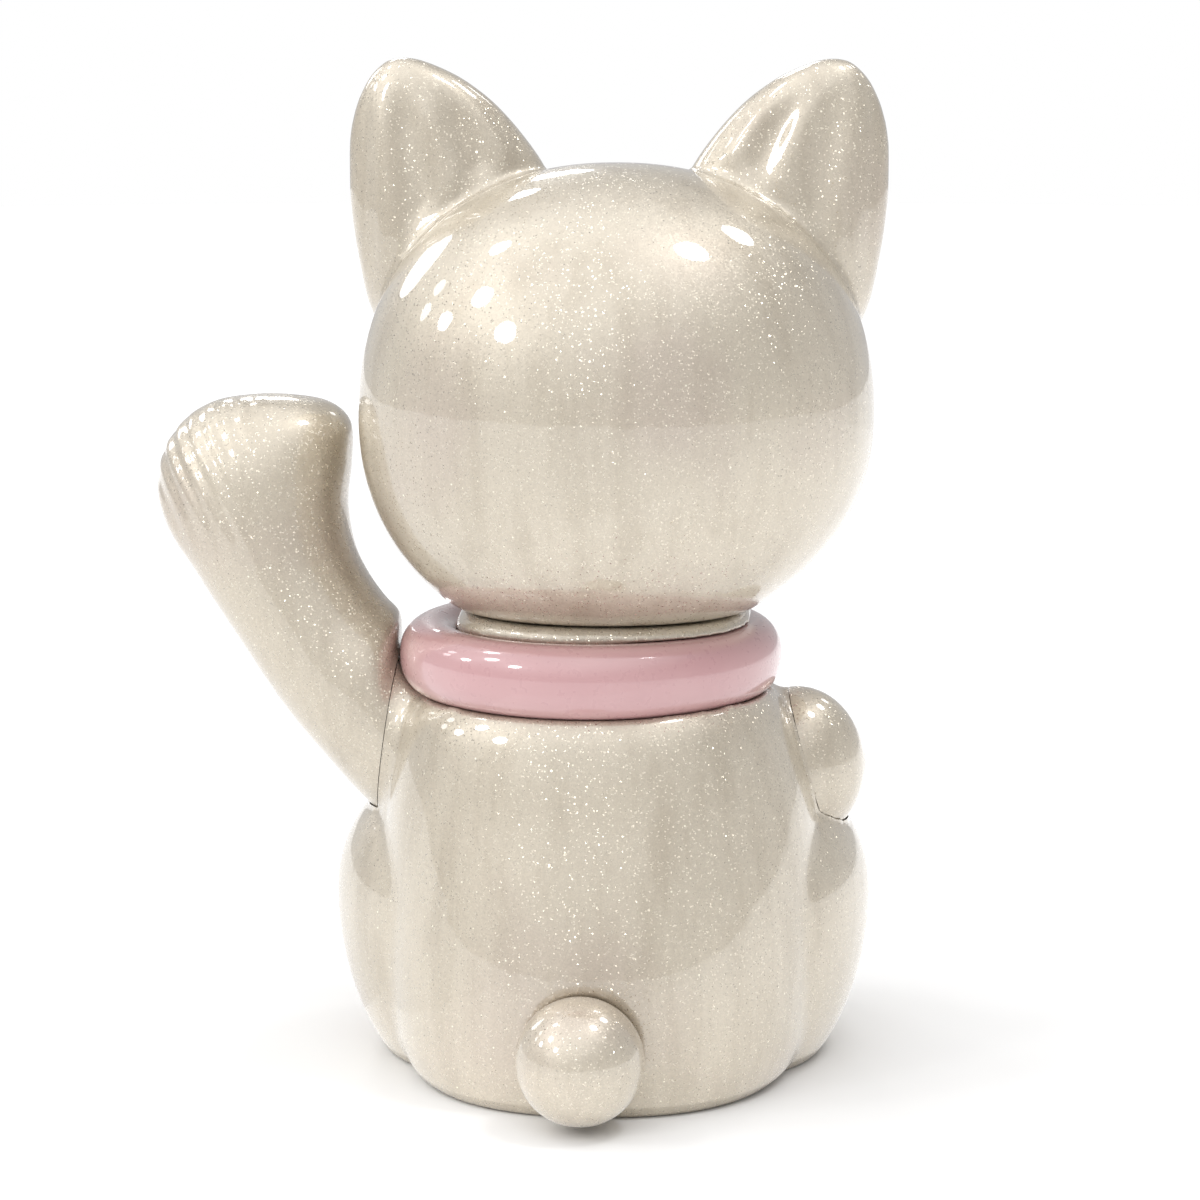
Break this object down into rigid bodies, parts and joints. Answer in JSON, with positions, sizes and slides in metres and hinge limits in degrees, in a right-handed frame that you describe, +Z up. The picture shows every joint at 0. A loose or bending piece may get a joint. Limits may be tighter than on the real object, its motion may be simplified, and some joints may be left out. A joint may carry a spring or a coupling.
{
  "type": "beckoning cat figurine",
  "caption": "Hollow soft-vinyl beckoning cat with a raised paw, a resting paw, a red collar with a bell and a ball tail; head, arms, tail and bell turn.",
  "frame": {"origin": "on the standing plane, under the middle of the haunches", "axes": "+Z up, -Y the way the cat faces, +X the side of the raised arm"},
  "size_m": [0.1051, 0.0898, 0.144],
  "materials": {
    "gold_vinyl": "glossy metallic vinyl with fine glitter",
    "red_vinyl": "high gloss",
    "bell_brass": "polished"
  },
  "bodies": {
    "torso": {"body_shell": "gold_vinyl", "collar_ring": "red_vinyl"},
    "head": {"head_shell": "gold_vinyl"},
    "raised_arm": {"raised_arm_shell": "gold_vinyl"},
    "resting_arm": {"resting_arm_shell": "gold_vinyl"},
    "tail": {"tail_ball": "gold_vinyl"},
    "bell": {"bell_link": "bell_brass", "bell_upper_half": "bell_brass", "bell_lower_half": "bell_brass", "bell_pellet": "bell_brass"}
  },
  "joints": [
    {"name": "neck_swivel", "type": "hinge", "parent": "torso", "child": "head", "pos_m": [0.0005, -0.0005, 0.0667], "axis": [0, 0, 1], "range_deg": [-110, 110]},
    {"name": "raised_arm_swivel", "type": "hinge", "parent": "torso", "child": "raised_arm", "pos_m": [0.0314, -0.003, 0.0474], "axis": [0.9903, 0, 0.1392], "range_deg": [-30, 60]},
    {"name": "resting_arm_swivel", "type": "hinge", "parent": "torso", "child": "resting_arm", "pos_m": [-0.0283, -0.003, 0.0457], "axis": [-0.9613, 0, 0.2756], "range_deg": [0, 25]},
    {"name": "tail_swivel", "type": "hinge", "parent": "torso", "child": "tail", "pos_m": [0.0014, 0.038, 0.0098], "axis": [0, 1, 0], "continuous": true},
    {"name": "bell_swing", "type": "hinge", "parent": "torso", "child": "bell", "pos_m": [0.0023, -0.0302, 0.0526], "axis": [-1, 0, 0], "range_deg": [0, 30]}
  ]
}
